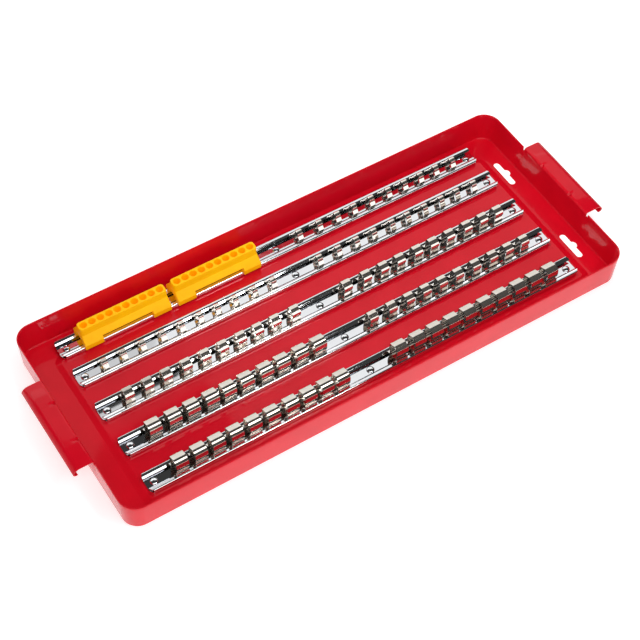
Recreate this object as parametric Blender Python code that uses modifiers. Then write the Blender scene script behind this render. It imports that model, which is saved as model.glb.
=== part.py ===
# Socket rail: a pressed steel tray with five channel rails of spring socket clips
# and two bit holders on the back rail.
# Metres, +Z up. X runs along the rails, -Y is the front, and the tray stands on
# Z = 0 with the origin under its middle.
import math

import bmesh
import bpy
from mathutils import Matrix, Vector

# Gap that touching pieces keep, how far a cutter runs past what it cuts, how far
# a fused piece bites into its carrier, and the distance at which points merge
SEAT_GAP = 0.0003
OVERRUN = 0.0010
BITE = 0.0002
MERGE = 0.00001

# Rails: channels of folded strip with inward lips
GROUP_START = 0.0236
GROUP_SPAN = 0.1822
RAIL_TAIL = 0.0242
RAIL_WIDTH = 0.0214
RAIL_HEIGHT = 0.0051
RAIL_SHEET = 0.0009
RAIL_THROAT = 0.0152
RAIL_BEND = 0.0012
RAIL_CORNER = 0.0045

# Rows, from the back row to the front row
ROW_PITCH = 0.0425
BACK_ROW_PITCH = 0.0359
FRONT_MARGIN = 0.0333
BACK_MARGIN = 0.0223
END_MARGIN = 0.0335

# Tray: one pressed sheet with a raised platform under the rails
SHEET = 0.0010
TRAY_HEIGHT = 0.0330
RIM_CORNER = 0.0170
WALL_DRAFT = 0.0015
FLOOR_FILLET = 0.0018
PLATFORM_RISE = 0.0023
PLATFORM_RUN = 0.0062
PLATFORM_CORNER = 0.0040
PLATFORM_END = 0.0024
PLATFORM_FRONT = 0.0041
PLATFORM_BACK = 0.0170
PAD_TOP = 0.0110
PAD_FOOT = 0.0160

# Handles: flanges folded out of both end walls, a little above the rim, that roll
# over into a curled edge
HANDLE_LENGTH = 0.0976
HANDLE_RISE = 0.0008
HANDLE_BEND = 0.0025
HANDLE_FLAT = 0.0105
HANDLE_ROLL = 0.0078
CURL_RADIUS = 0.0030
NOTCH_WIDTH = 0.0025
DENT_SPACING = 0.0430
DENT_WIDTH = 0.0080
DENT_DEPTH = 0.0012

# Hang slots in the floor beside the platform
SLOT_LENGTH = 0.0320
SLOT_WIDTH = 0.0066
SLOT_SPACING = 0.1080
SLOT_INSET = 0.0173
SLOT_BUMP_RADIUS = 0.0044
SLOT_BUMP_SHIFT = 0.0018

# Rivets
RIVET_HEAD = 0.0074
RIVET_DOME = 0.0013
RIVET_RIM = 0.0005
RIVET_INSET = 0.0080

# Spring clips: bent strip, one style for each socket drive. Heights are above the
# rail's lips, and widths are across the rail, over the outside of the strip.
STRIP = 0.0007
FOOT_DROP = 0.0015

LARGE_STRIP_WIDTH = 0.0122
LARGE_TOP = 0.0149
LARGE_TOP_WIDTH = 0.0020
LARGE_SHOULDER = 0.0120
LARGE_SHOULDER_WIDTH = 0.0122
LARGE_BULGE = 0.0070
LARGE_BULGE_WIDTH = 0.0134
LARGE_NECK = 0.0006
LARGE_NECK_WIDTH = 0.0118
LARGE_FOOT_WIDTH = 0.0126

MEDIUM_STRIP_WIDTH = 0.0095
MEDIUM_TOP = 0.0123
MEDIUM_TOP_WIDTH = 0.0024
MEDIUM_CROWN = 0.0113
MEDIUM_CROWN_WIDTH = 0.0068
MEDIUM_SHOULDER = 0.0095
MEDIUM_SHOULDER_WIDTH = 0.0090
MEDIUM_BULGE = 0.0070
MEDIUM_BULGE_WIDTH = 0.0110
MEDIUM_NECK = 0.0010
MEDIUM_NECK_WIDTH = 0.0120
MEDIUM_FOOT_WIDTH = 0.0132

SMALL_STRIP_WIDTH = 0.0060
SMALL_TOP = 0.0082
SMALL_TOP_WIDTH = 0.0024
SMALL_SHOULDER = 0.0062
SMALL_SHOULDER_WIDTH = 0.0062
SMALL_NECK = 0.0036
SMALL_NECK_WIDTH = 0.0068
SMALL_FLARE = 0.0004
SMALL_FLARE_WIDTH = 0.0126
SMALL_FOOT_WIDTH = 0.0138

# Bit holders: moulded bars that snap over the back rail. Heights are above the
# rail's lips.
HOLE_PITCH = 0.00867
BIT_HOLE = 0.0069
HOLE_DEPTH = 0.0130
HOLDER_END = 0.0053
HOLDER_END_SPACE = 0.0220
HOLDER_SPACE = 0.0075
HOLDER_TOP = 0.0186
HOLDER_TOP_WIDTH = 0.0098
HOLDER_CORNER = 0.0028
HOLDER_WAIST = 0.0105
HOLDER_WAIST_WIDTH = 0.0112
HOLDER_FLARE = 0.0045
HOLDER_KNEE = 0.0031
HOLDER_KNEE_SETBACK = 0.0010
HOLDER_SKIN = 0.0013
FOOT_WALL = 0.0015
FOOT_LENGTH = 0.0184
FOOT_REACH = 0.0019
LEG_WALL = 0.0017
LEG_REACH = 0.0027
BARB_REACH = 0.0011
BARB_TAPER = 0.0012
RECESS_TOP = 0.0059
RECESS_SETBACK = 0.0027

# Counts
CLIPS_IN_GROUP = 10
HOLES_IN_HOLDER = 10
CORNER_STEPS = 6
FILLET_STEPS = 2
BEND_STEPS = 3
ROLL_STEPS = 3
CURL_STEPS = 4
RAIL_CORNER_STEPS = 3
SLOT_STEPS = 6
BUMP_STEPS = 5
PAD_SIDES = 8
HOLE_SIDES = 12
DOME_STEPS = 3
RIVET_SIDES = 8

# Angles
ROLL_END = math.radians(25)
CURL_END = math.radians(-120)

# Clips of a group that slide, counted from the middle of the rail. The others are
# fused to their rail, which keeps the number of pieces down.
SLIDING_CLIPS = (0, 2, 4, 6, 8)

# Levels and places that follow from the sizes above
platform_level = SHEET + PLATFORM_RISE
rail_foot = platform_level + SEAT_GAP
rail_floor = rail_foot + RAIL_SHEET
lip_top = rail_foot + RAIL_HEIGHT
lip_under = lip_top - RAIL_SHEET
rail_half = GROUP_START + GROUP_SPAN + RAIL_TAIL
rail_inner_half = RAIL_WIDTH / 2 - RAIL_SHEET
tray_half_length = rail_half + END_MARGIN
tray_half_depth = (FRONT_MARGIN + 3 * ROW_PITCH + BACK_ROW_PITCH + BACK_MARGIN) / 2
front_row = FRONT_MARGIN - tray_half_depth
row_places = (
    front_row + 3 * ROW_PITCH + BACK_ROW_PITCH,
    front_row + 3 * ROW_PITCH,
    front_row + 2 * ROW_PITCH,
    front_row + ROW_PITCH,
    front_row,
)
holder_length = (HOLES_IN_HOLDER - 1) * HOLE_PITCH + 2 * HOLDER_END


def clear_scene():
    for item in list(bpy.data.objects):
        bpy.data.objects.remove(item, do_unlink=True)
    for item in list(bpy.data.collections):
        bpy.data.collections.remove(item)


def make_collection(name):
    collection = bpy.data.collections.new(name)
    bpy.context.scene.collection.children.link(collection)
    return collection


def make_material(name, colour, roughness, metallic):
    material = bpy.data.materials.new(name)
    material.use_nodes = True
    shader = material.node_tree.nodes["Principled BSDF"]
    shader.inputs["Base Color"].default_value = (*colour, 1)
    shader.inputs["Roughness"].default_value = roughness
    shader.inputs["Metallic"].default_value = metallic
    return material


def add_object(name, mesh, collection, material=None, place=(0, 0, 0)):
    item = bpy.data.objects.new(name, mesh)
    item.location = place
    collection.objects.link(item)
    if material and not mesh.materials:
        mesh.materials.append(material)
    return item


def add_cutter(name, mesh, place=(0, 0, 0)):
    item = add_object(name, mesh, cutters, place=place)
    item.hide_render = True
    item.display_type = "WIRE"
    return item


def combine(target, other, operation):
    modifier = target.modifiers.new(operation.title(), "BOOLEAN")
    modifier.operation = operation
    modifier.solver = "EXACT"
    modifier.object = other


def thicken(item, thickness):
    modifier = item.modifiers.new("Sheet", "SOLIDIFY")
    modifier.thickness = thickness
    modifier.offset = -1
    modifier.use_even_offset = True


def as_mesh(name, shape):
    mesh = bpy.data.meshes.new(name)
    shape.to_mesh(mesh)
    shape.free()
    return mesh


def smooth_by_angle(mesh, degrees=35):
    mesh.shade_smooth()
    mesh.set_sharp_from_angle(angle=math.radians(degrees))


# Points on an arc about a centre, both ends included
def arc(centre, radius, start, end, steps):
    turns = [start + (end - start) * step / steps for step in range(steps + 1)]
    return [(centre[0] + radius * math.cos(turn), centre[1] + radius * math.sin(turn))
            for turn in turns]


def rounded_rectangle(half_x, half_y, radius, steps, middle=(0, 0)):
    points = []
    for quarter, (side_x, side_y) in enumerate(((1, 1), (-1, 1), (-1, -1), (1, -1))):
        centre = (middle[0] + side_x * (half_x - radius),
                  middle[1] + side_y * (half_y - radius))
        start = math.radians(90 * quarter)
        points += arc(centre, radius, start, start + math.radians(90), steps)
    return points


# Solid of a flat outline, from a filled 2D curve, centred on its own plane
def prism(name, outline, thickness):
    curve = bpy.data.curves.new(name, "CURVE")
    curve.dimensions = "2D"
    curve.fill_mode = "BOTH"
    curve.extrude = thickness / 2
    spline = curve.splines.new("POLY")
    spline.points.add(len(outline) - 1)
    for point, (across, up) in zip(spline.points, outline):
        point.co = (across, up, 0, 1)
    spline.use_cyclic_u = True
    guide = bpy.data.objects.new(name, curve)
    bpy.context.scene.collection.objects.link(guide)
    evaluated = guide.evaluated_get(bpy.context.evaluated_depsgraph_get())
    mesh = bpy.data.meshes.new_from_object(evaluated)
    bpy.data.objects.remove(guide)
    bpy.data.curves.remove(curve)
    shape = bmesh.new()
    shape.from_mesh(mesh)
    bmesh.ops.remove_doubles(shape, verts=shape.verts, dist=MERGE)
    bmesh.ops.dissolve_limit(shape, angle_limit=math.radians(1), verts=shape.verts,
                             edges=shape.edges)
    bmesh.ops.recalc_face_normals(shape, faces=shape.faces)
    shape.to_mesh(mesh)
    shape.free()
    return mesh


# Turns an outline drawn in X and Y so that it stands across the rails, in Y and Z
def stand_across(mesh):
    turn = Matrix.Rotation(math.radians(90), 4, "Z") @ Matrix.Rotation(math.radians(90), 4, "X")
    mesh.transform(turn)
    return mesh


# Faces between two rows of points. Their normals point up where the second row
# lies outside the first and both run anticlockwise.
def loft(shape, inner, outer, closed=False):
    count = len(inner)
    for index in range(count if closed else count - 1):
        after = (index + 1) % count
        shape.faces.new((inner[index], outer[index], outer[after], inner[after]))


# Open strip: a path across the rails, in Y and Z, drawn out along X
def add_strip(shape, path, length, middle=0.0):
    near = [shape.verts.new((middle - length / 2, across, up)) for across, up in path]
    far = [shape.verts.new((middle + length / 2, across, up)) for across, up in path]
    loft(shape, near, far)


# The tray's sheet is lofted through rings of the same number of points, which
# run round the rim's plan and carry the stations of the handles on both ends.
def side_stations():
    end = HANDLE_LENGTH / 2
    dent = DENT_SPACING / 2
    edge = DENT_WIDTH / 2
    half = (dent - edge, dent, dent + edge, end, end + NOTCH_WIDTH)
    return [-place for place in reversed(half)] + list(half)


def tray_ring(shape, half_x, half_y, radius, level, middle_y=0.0):
    outline = rounded_rectangle(half_x, half_y, radius, CORNER_STEPS, (0, middle_y))
    half = len(outline) // 2
    right = [(half_x, place) for place in side_stations()]
    left = [(-half_x, place) for place in reversed(side_stations())]
    points = right + outline[:half] + left + outline[half:]
    return [shape.verts.new((across, along, level)) for across, along in points]


def wall_ring(shape, inset, level):
    return tray_ring(shape, tray_half_length - SHEET - inset, tray_half_depth - SHEET - inset,
                     RIM_CORNER - SHEET - inset, level)


# The handle's section from the top of the end wall outwards, as a distance from
# the wall's inner face, a level, and how much of the dents' depth it takes
def handle_section():
    top = TRAY_HEIGHT + HANDLE_RISE
    section = []
    for step in range(BEND_STEPS + 1):
        turn = math.radians(90) * step / BEND_STEPS
        section.append((HANDLE_BEND * (1 - math.cos(turn)),
                        top - HANDLE_BEND * (1 - math.sin(turn)), math.sin(2 * turn)))
    flat_end = HANDLE_BEND + HANDLE_FLAT
    roll = arc((flat_end, top - HANDLE_ROLL), HANDLE_ROLL, math.radians(90), ROLL_END, ROLL_STEPS)
    out, up = roll[-1]
    centre = (out - CURL_RADIUS * math.cos(ROLL_END), up - CURL_RADIUS * math.sin(ROLL_END))
    curl = arc(centre, CURL_RADIUS, ROLL_END, CURL_END, CURL_STEPS)
    return section + [(out, up, 0) for out, up in roll + curl[1:]]


def add_handle(shape, wall, side):
    dents = (-DENT_SPACING / 2, DENT_SPACING / 2)
    start = wall[0].co.x
    row = wall
    for out, level, dent_share in handle_section():
        outer = []
        for vertex in wall:
            is_dent = any(abs(vertex.co.y - dent) < MERGE for dent in dents)
            push = DENT_DEPTH * dent_share * math.sqrt(0.5) if is_dent else 0
            outer.append(shape.verts.new((start + side * (out + push), vertex.co.y, level - push)))
        loft(shape, row, outer)
        row = outer


def make_tray_sheet():
    shape = bmesh.new()
    platform_half = rail_half + PLATFORM_END
    platform_front = front_row - RAIL_WIDTH / 2 - PLATFORM_FRONT
    platform_back = row_places[1] + RAIL_WIDTH / 2 + PLATFORM_BACK
    platform_middle = (platform_front + platform_back) / 2
    platform_depth = (platform_back - platform_front) / 2
    bend_level = TRAY_HEIGHT - HANDLE_BEND
    rings = [
        tray_ring(shape, platform_half, platform_depth, PLATFORM_CORNER, platform_level,
                  platform_middle),
        tray_ring(shape, platform_half + PLATFORM_RUN, platform_depth + PLATFORM_RUN,
                  PLATFORM_CORNER + PLATFORM_RUN, SHEET, platform_middle),
    ]
    for step in range(FILLET_STEPS + 1):
        turn = math.radians(90) * step / FILLET_STEPS
        rings.append(wall_ring(shape, WALL_DRAFT + FLOOR_FILLET * (1 - math.sin(turn)),
                               SHEET + FLOOR_FILLET * (1 - math.cos(turn))))
    draft_left = WALL_DRAFT * HANDLE_BEND / TRAY_HEIGHT
    rings.append(wall_ring(shape, draft_left, bend_level))
    shape.faces.new(rings[0])
    for inner, outer in zip(rings, rings[1:]):
        loft(shape, inner, outer, closed=True)

    # The rim leaves out the handles and slopes down into the notches beside them
    bend = rings[-1]
    rim = wall_ring(shape, 0, TRAY_HEIGHT)
    stations = len(side_stations())
    half = len(rim) // 2
    in_handle = {side * half + index for side in (0, 1) for index in range(1, stations - 1)}
    for index in range(len(rim)):
        after = (index + 1) % len(rim)
        corners = [bend[index], rim[index], rim[after], bend[after]]
        if index in in_handle:
            corners.remove(rim[index])
        if after in in_handle:
            corners.remove(rim[after])
        if len(corners) > 2:
            shape.faces.new(corners)
    for index in sorted(in_handle):
        shape.verts.remove(rim[index])
    add_handle(shape, bend[1:stations - 1], 1)
    add_handle(shape, bend[half + 1:half + stations - 1], -1)
    return as_mesh("tray", shape)


# A slot with round ends and a round bump on its outer side
def slot_outline():
    half_width = SLOT_WIDTH / 2
    end = SLOT_LENGTH / 2 - half_width
    edge = half_width - SLOT_BUMP_SHIFT
    chord = math.acos(edge / SLOT_BUMP_RADIUS)
    bump = arc((SLOT_BUMP_SHIFT, 0), SLOT_BUMP_RADIUS, -chord, chord, BUMP_STEPS)
    back = arc((0, end), half_width, 0, math.radians(180), SLOT_STEPS)
    front = arc((0, -end), half_width, math.radians(180), math.radians(360), SLOT_STEPS)
    return bump + back + front


# Cone from one level to another, at a place in X and Y
def cone(name, place, foot_radius, top_radius, low, high, sides):
    shape = bmesh.new()
    height = high - low
    middle = Matrix.Translation((place[0], place[1], low + height / 2))
    bmesh.ops.create_cone(shape, cap_ends=True, segments=sides, radius1=foot_radius,
                          radius2=top_radius, depth=height, matrix=middle)
    return as_mesh(name, shape)


def make_tray():
    tray = add_object("tray", make_tray_sheet(), parts, paint)
    smooth_by_angle(tray.data)
    thicken(tray, SHEET)

    # Pressed pads carry the back rail, which stands behind the platform
    for index, along in enumerate(rivet_places()):
        place = (along, row_places[0])
        pad = cone("pad", place, PAD_FOOT / 2, PAD_TOP / 2, SHEET / 2, platform_level, PAD_SIDES)
        combine(tray, add_cutter(f"pad_{index}", pad), "UNION")
        hollow = cone("hollow", place, PAD_FOOT / 2 - SHEET, PAD_TOP / 2 - SHEET, -OVERRUN,
                      platform_level - SHEET, PAD_SIDES)
        combine(tray, add_cutter(f"pad_hollow_{index}", hollow), "DIFFERENCE")

    slot = prism("slot", slot_outline(), 2 * (SHEET + OVERRUN))
    for index, side in enumerate((-1, 1)):
        place = (tray_half_length - SLOT_INSET, side * SLOT_SPACING / 2, 0)
        combine(tray, add_cutter(f"slot_{index}", slot, place), "DIFFERENCE")
    return tray


def rivet_places():
    end = rail_half - RIVET_INSET
    return (-end, 0.0, end)


# Outside of the channel: over the right lip, round below and up to the left lip
def rail_path():
    half = RAIL_WIDTH / 2
    right = [(RAIL_THROAT / 2, lip_top)]
    top_centre = (half - RAIL_BEND, lip_top - RAIL_BEND)
    right += arc(top_centre, RAIL_BEND, math.radians(90), 0, 2)
    foot_centre = (half - RAIL_BEND, rail_foot + RAIL_BEND)
    right += arc(foot_centre, RAIL_BEND, 0, math.radians(-90), 2)
    return right + [(-across, up) for across, up in reversed(right)]


# Outside of a clip from its left foot over the top to its right foot. The feet
# spread below the rail's lips and end at the given reach.
def clip_path(half_outline, foot_width, reach):
    right = [(width / 2, lip_top + height) for width, height in half_outline]
    right.append((foot_width / 2, lip_under))
    right.append((reach, lip_under - FOOT_DROP))
    return [(-across, up) for across, up in reversed(right)] + right


clip_styles = {
    "half_inch": (LARGE_STRIP_WIDTH, LARGE_FOOT_WIDTH, (
        (LARGE_TOP_WIDTH, LARGE_TOP),
        (LARGE_SHOULDER_WIDTH, LARGE_SHOULDER),
        (LARGE_BULGE_WIDTH, LARGE_BULGE),
        (LARGE_NECK_WIDTH, LARGE_NECK),
    )),
    "three_eighths": (MEDIUM_STRIP_WIDTH, MEDIUM_FOOT_WIDTH, (
        (MEDIUM_TOP_WIDTH, MEDIUM_TOP),
        (MEDIUM_CROWN_WIDTH, MEDIUM_CROWN),
        (MEDIUM_SHOULDER_WIDTH, MEDIUM_SHOULDER),
        (MEDIUM_BULGE_WIDTH, MEDIUM_BULGE),
        (MEDIUM_NECK_WIDTH, MEDIUM_NECK),
    )),
    "quarter_inch": (SMALL_STRIP_WIDTH, SMALL_FOOT_WIDTH, (
        (SMALL_TOP_WIDTH, SMALL_TOP),
        (SMALL_SHOULDER_WIDTH, SMALL_SHOULDER),
        (SMALL_NECK_WIDTH, SMALL_NECK),
        (SMALL_FLARE_WIDTH, SMALL_FLARE),
    )),
}

# Style of the clips on the left and right half of each row, back row first
row_styles = (
    (None, "quarter_inch"),
    ("quarter_inch", "quarter_inch"),
    ("three_eighths", "three_eighths"),
    ("half_inch", "three_eighths"),
    ("half_inch", "half_inch"),
)

# Where the clips of the left and right half of each row stand, as shares of the
# group's span from its inner end
place_shares = (
    (None, (0.009, 0.132, 0.245, 0.350, 0.459, 0.569, 0.673, 0.776, 0.877, 0.985)),
    ((0.013, 0.126, 0.238, 0.341, 0.441, 0.548, 0.656, 0.771, 0.877, 0.982),
     (0.009, 0.126, 0.238, 0.346, 0.461, 0.560, 0.669, 0.777, 0.877, 0.986)),
    ((0.025, 0.138, 0.240, 0.339, 0.442, 0.543, 0.649, 0.760, 0.863, 0.971),
     (0.027, 0.145, 0.252, 0.353, 0.462, 0.562, 0.666, 0.777, 0.878, 0.975)),
    ((0.033, 0.139, 0.244, 0.340, 0.450, 0.551, 0.647, 0.752, 0.854, 0.962),
     (0.031, 0.145, 0.252, 0.353, 0.455, 0.557, 0.665, 0.773, 0.873, 0.974)),
    ((0.047, 0.140, 0.238, 0.338, 0.444, 0.548, 0.648, 0.749, 0.847, 0.950),
     (0.036, 0.145, 0.248, 0.351, 0.452, 0.556, 0.655, 0.763, 0.864, 0.967)),
)


def clip_place(row, side, index):
    share = place_shares[row][(side + 1) // 2][index]
    return side * (GROUP_START + share * GROUP_SPAN)


def make_sliding_clips():
    reach = rail_inner_half - SEAT_GAP
    for style, (strip_width, foot_width, half_outline) in clip_styles.items():
        shape = bmesh.new()
        add_strip(shape, clip_path(half_outline, foot_width, reach), strip_width)
        mesh = as_mesh(f"{style}_clip", shape)
        smooth_by_angle(mesh)
        for row, styles in enumerate(row_styles):
            for side_name, side, side_style in zip(("left", "right"), (-1, 1), styles):
                if side_style != style:
                    continue
                for index in SLIDING_CLIPS:
                    name = f"{style}_clip_{row + 1}_{side_name}_{index + 1}"
                    place = (clip_place(row, side, index), row_places[row], 0)
                    thicken(add_object(name, mesh, parts, spring, place), STRIP)


def make_fixed_clips(row):
    shape = bmesh.new()
    reach = rail_inner_half + BITE
    for side, style in zip((-1, 1), row_styles[row]):
        if not style:
            continue
        strip_width, foot_width, half_outline = clip_styles[style]
        path = clip_path(half_outline, foot_width, reach)
        for index in range(CLIPS_IN_GROUP):
            if index not in SLIDING_CLIPS:
                add_strip(shape, path, strip_width, clip_place(row, side, index))
    fixed = add_cutter(f"fixed_clips_{row + 1}", as_mesh("fixed_clips", shape))
    thicken(fixed, STRIP)
    return fixed


# Domed heads for one rail, turned from their section. Their feet bite into the
# rail's floor.
def make_rivet_heads():
    radius = RIVET_HEAD / 2
    foot = rail_floor - BITE
    rim = rail_floor + RIVET_RIM
    points = [(radius * math.sin(turn), rim + RIVET_DOME * math.cos(turn))
              for turn in (math.radians(90) * step / DOME_STEPS for step in range(DOME_STEPS + 1))]
    points += [(radius, foot), (0, foot)]
    shape = bmesh.new()
    for along in rivet_places():
        verts = [shape.verts.new((along + across, 0, up)) for across, up in points]
        edges = [shape.edges.new(pair) for pair in zip(verts, verts[1:])]
        bmesh.ops.spin(shape, geom=verts + edges, cent=(along, 0, 0), axis=(0, 0, 1),
                       angle=math.radians(360), steps=RIVET_SIDES, use_merge=True)
    bmesh.ops.remove_doubles(shape, verts=shape.verts, dist=MERGE)
    bmesh.ops.recalc_face_normals(shape, faces=shape.faces)
    return as_mesh("rivet_heads", shape)


def make_rails():
    rivet_heads = make_rivet_heads()
    outline = rounded_rectangle(rail_half, RAIL_WIDTH / 2 + OVERRUN, RAIL_CORNER + OVERRUN,
                                RAIL_CORNER_STEPS)
    plan = prism("rail_plan", outline, 2 * (lip_top + OVERRUN))
    for row, place in enumerate(row_places):
        shape = bmesh.new()
        add_strip(shape, rail_path(), 2 * (rail_half + OVERRUN))
        mesh = as_mesh(f"rail_{row + 1}", shape)
        smooth_by_angle(mesh)
        rail = add_object(f"rail_{row + 1}", mesh, parts, chrome, (0, place, 0))
        thicken(rail, RAIL_SHEET)
        cutter = add_cutter(f"rail_plan_{row + 1}", plan)
        cutter.parent = rail
        combine(rail, cutter, "INTERSECT")
        fixed = make_fixed_clips(row)
        fixed.parent = rail
        combine(rail, fixed, "UNION")
        heads = add_cutter(f"rivet_heads_{row + 1}", rivet_heads)
        heads.parent = rail
        combine(rail, heads, "UNION")


# Section of the bit holder: a narrow bar on top, feet that flare out over the
# rail, and legs that reach through the rail's throat and hook under its lips
def holder_outline():
    foot_inner = RAIL_WIDTH / 2 + SEAT_GAP
    foot_outer = foot_inner + FOOT_WALL
    leg_outer = RAIL_THROAT / 2 - SEAT_GAP
    leg_inner = leg_outer - LEG_WALL
    foot_low = lip_top - FOOT_REACH
    saddle = lip_top + SEAT_GAP
    hook = lip_under - SEAT_GAP
    leg_low = lip_top - LEG_REACH
    roof = lip_top + HOLDER_TOP - HOLE_DEPTH - HOLDER_SKIN
    right = [
        (HOLDER_TOP_WIDTH / 2, lip_top + HOLDER_TOP),
        (HOLDER_WAIST_WIDTH / 2, lip_top + HOLDER_WAIST),
        (foot_outer - HOLDER_KNEE_SETBACK, lip_top + HOLDER_FLARE),
        (foot_outer, lip_top + HOLDER_KNEE),
        (foot_outer, foot_low),
        (foot_inner, foot_low),
        (foot_inner, saddle),
        (leg_outer, saddle),
        (leg_outer, hook),
        (leg_outer + BARB_REACH, hook),
        (leg_outer + BARB_REACH - BARB_TAPER, leg_low),
        (leg_inner, leg_low),
        (leg_inner, roof),
    ]
    return right + [(-across, up) for across, up in reversed(right)]


# What is cut away between the feet on one side: the foot and the edge above it
def recess_outline():
    wall = RAIL_WIDTH / 2 - RECESS_SETBACK
    top = lip_top + RECESS_TOP
    outside = RAIL_WIDTH / 2 + SEAT_GAP + FOOT_WALL + OVERRUN
    between = lip_top + SEAT_GAP / 2
    beside = RAIL_WIDTH / 2 + SEAT_GAP / 2
    below = lip_top - FOOT_REACH - OVERRUN
    return [
        (wall, top),
        (outside, top),
        (outside, below),
        (beside, below),
        (beside, between),
        (wall, between),
    ]


def round_holder_ends(mesh):
    shape = bmesh.new()
    shape.from_mesh(mesh)
    waist = lip_top + HOLDER_WAIST - MERGE
    edges = [edge for edge in shape.edges
             if min(vertex.co.z for vertex in edge.verts) > waist
             and abs(edge.verts[0].co.z - edge.verts[1].co.z) > MERGE]
    bmesh.ops.bevel(shape, geom=edges, offset=HOLDER_CORNER, segments=3, profile=0.5,
                    affect="EDGES")
    shape.to_mesh(mesh)
    shape.free()


def make_bit_holders():
    row = row_places[0]
    body = stand_across(prism("bit_holder", holder_outline(), holder_length))
    round_holder_ends(body)
    smooth_by_angle(body)
    recess_length = holder_length - 2 * FOOT_LENGTH
    front = [(-across, up) for across, up in reversed(recess_outline())]
    recess_meshes = [stand_across(prism("recess", outline, recess_length))
                     for outline in (recess_outline(), front)]
    top = lip_top + HOLDER_TOP
    for order, name in enumerate(("left", "right")):
        middle = (HOLDER_END_SPACE - rail_half + holder_length / 2
                  + order * (holder_length + HOLDER_SPACE))
        holder = add_object(f"bit_holder_{name}", body, parts, yellow, (middle, row, 0))
        for index, mesh in enumerate(recess_meshes):
            cutter = add_cutter(f"recess_{name}_{index}", mesh, (middle, row, 0))
            combine(holder, cutter, "DIFFERENCE")
        holes = bmesh.new()
        for index in range(HOLES_IN_HOLDER):
            along = (index - (HOLES_IN_HOLDER - 1) / 2) * HOLE_PITCH
            height = HOLE_DEPTH + OVERRUN
            place = Matrix.Translation((along, 0, top + OVERRUN - height / 2))
            bmesh.ops.create_cone(holes, cap_ends=True, segments=HOLE_SIDES,
                                  radius1=BIT_HOLE / 2, radius2=BIT_HOLE / 2, depth=height,
                                  matrix=place)
        cutter = add_cutter(f"bit_holes_{name}", as_mesh("bit_holes", holes), (middle, row, 0))
        combine(holder, cutter, "DIFFERENCE")


clear_scene()
parts = make_collection("socket_rail")
cutters = make_collection("cutters")
paint = make_material("red paint", (0.60, 0.004, 0.018), 0.25, 0.0)
chrome = make_material("bright chrome", (0.86, 0.86, 0.87), 0.08, 1.0)
spring = make_material("nickel spring steel", (0.84, 0.80, 0.74), 0.12, 1.0)
yellow = make_material("yellow plastic", (0.90, 0.46, 0.0), 0.45, 0.0)

make_tray()
make_rails()
make_sliding_clips()
make_bit_holders()
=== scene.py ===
# Looks of the socket rail tray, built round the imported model.
# Metres, +Z up, -Y is the front. X runs along the rails.
import math

import bmesh
import bpy
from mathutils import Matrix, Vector


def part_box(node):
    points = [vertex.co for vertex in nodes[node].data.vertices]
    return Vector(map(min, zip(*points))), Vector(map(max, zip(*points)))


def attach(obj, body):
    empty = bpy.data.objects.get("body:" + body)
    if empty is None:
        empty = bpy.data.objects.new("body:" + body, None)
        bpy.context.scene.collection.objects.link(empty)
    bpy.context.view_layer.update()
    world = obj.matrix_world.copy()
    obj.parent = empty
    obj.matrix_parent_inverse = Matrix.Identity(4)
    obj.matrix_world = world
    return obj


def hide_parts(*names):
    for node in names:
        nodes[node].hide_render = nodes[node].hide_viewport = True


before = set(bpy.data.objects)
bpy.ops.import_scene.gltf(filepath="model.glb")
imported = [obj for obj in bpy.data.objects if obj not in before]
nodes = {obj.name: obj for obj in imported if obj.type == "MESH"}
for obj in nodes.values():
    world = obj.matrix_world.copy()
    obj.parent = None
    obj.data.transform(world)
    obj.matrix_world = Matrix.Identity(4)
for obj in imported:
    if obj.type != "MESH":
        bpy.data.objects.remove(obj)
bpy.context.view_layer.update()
print("frame loaded:", len(nodes), "solids")

# Sizes that several pieces share
shared = {
    "sheet": 0.0010,
    "trayHeight": 0.0330,
    "halfLength": 0.2635,
    "halfDepth": 0.1095,
    "platformLevel": 0.0033,
    "railHalf": 0.2300,
    "railWidth": 0.0214,
    "lipTop": 0.0087,
    "railFloor": 0.0045,
    "rows": (0.0872, 0.0513, 0.0088, -0.0337, -0.0762),  # back row first
    "rivetInset": 0.0080,  # from the rail's end to its outer rivet
    "smoothAngle": 30,  # degrees between faces that still shade as one
    "weld": 0.000002,  # points closer than this become one
}


# ---- small mesh tools

def arcPoints(centre, radius, start, end, steps):
    turns = [start + (end - start) * step / steps for step in range(steps + 1)]
    return [(centre[0] + radius * math.cos(turn), centre[1] + radius * math.sin(turn))
            for turn in turns]


def quarterTurns(steps):
    return [math.radians(90) * step / steps for step in range(steps + 1)]


def roundedBox(halfX, halfY, corners, steps, middleY=0.0):
    # corners are the radii of the back and the front ones
    outline = []
    for quarter, (sideX, sideY) in enumerate(((1, 1), (-1, 1), (-1, -1), (1, -1))):
        corner = corners[0 if sideY > 0 else 1]
        centre = (sideX * (halfX - corner), middleY + sideY * (halfY - corner))
        start = math.radians(90 * quarter)
        outline += arcPoints(centre, corner, start, start + math.radians(90), steps)
    return outline


def roundPath(corners, steps):
    # corners are (across, up, bend radius); a radius of 0 leaves the corner sharp
    points = []
    for index, (across, up, radius) in enumerate(corners):
        here = Vector((across, up))
        if radius == 0:
            points.append(tuple(here))
            continue
        inward = Vector(corners[index - 1][:2]) - here
        onward = Vector(corners[index + 1][:2]) - here
        half = inward.angle(onward) / 2
        room = 0.48 * min(inward.length, onward.length)
        radius = min(radius, room * math.tan(half))
        inward.normalize()
        onward.normalize()
        centre = here + (inward + onward).normalized() * radius / math.sin(half)
        first = here + inward * radius / math.tan(half) - centre
        last = here + onward * radius / math.tan(half) - centre
        turn = math.atan2(first.cross(last), first.dot(last))
        start = math.atan2(first.y, first.x)
        points += arcPoints(tuple(centre), radius, start, start + turn, steps)
    return points


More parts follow.
